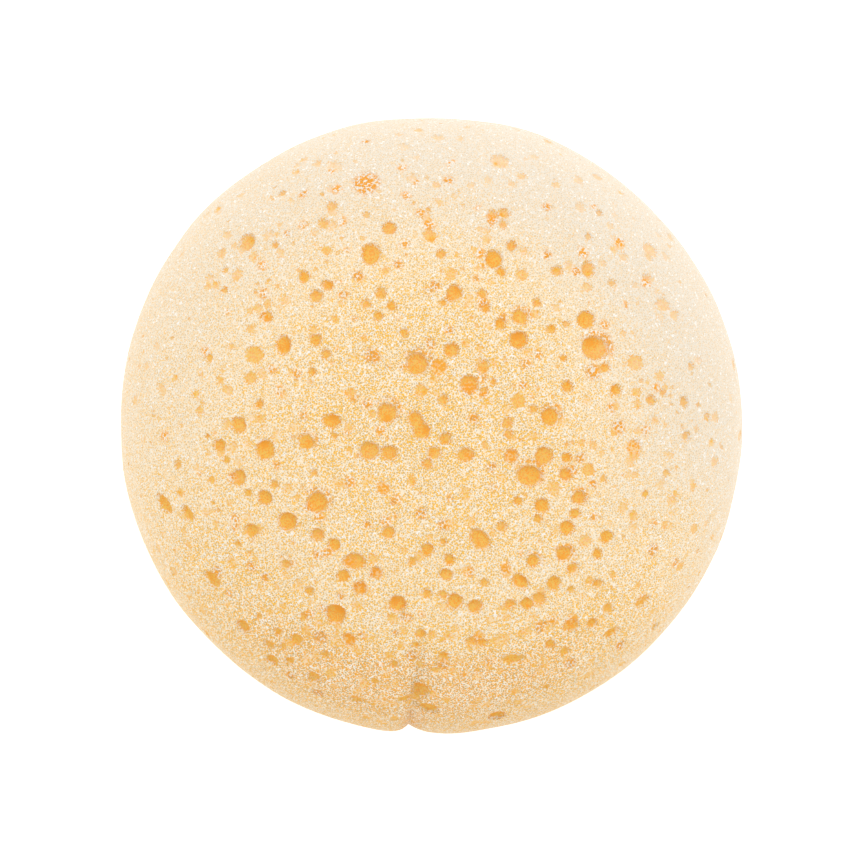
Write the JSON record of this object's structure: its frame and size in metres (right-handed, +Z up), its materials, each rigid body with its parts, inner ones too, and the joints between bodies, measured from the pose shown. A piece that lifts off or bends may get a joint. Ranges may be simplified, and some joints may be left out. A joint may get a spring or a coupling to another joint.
{
  "type": "round bath sponge",
  "caption": "Round bath sponge: a flat-backed bun of cream open-celled foam, pitted with round voids and with one short crease pressed into its edge.",
  "frame": {"origin": "middle of the flat back, on the surface that the sponge lies on", "axes": "+Z up out of the front, -Y towards the crease in the edge, +X to the right of the front"},
  "size_m": [0.13, 0.1286, 0.072],
  "materials": {
    "foam": "soft open-celled foam, matt, cream on the skin and amber inside the voids"
  },
  "bodies": {
    "root": {"sponge": "foam"}
  },
  "joints": []
}
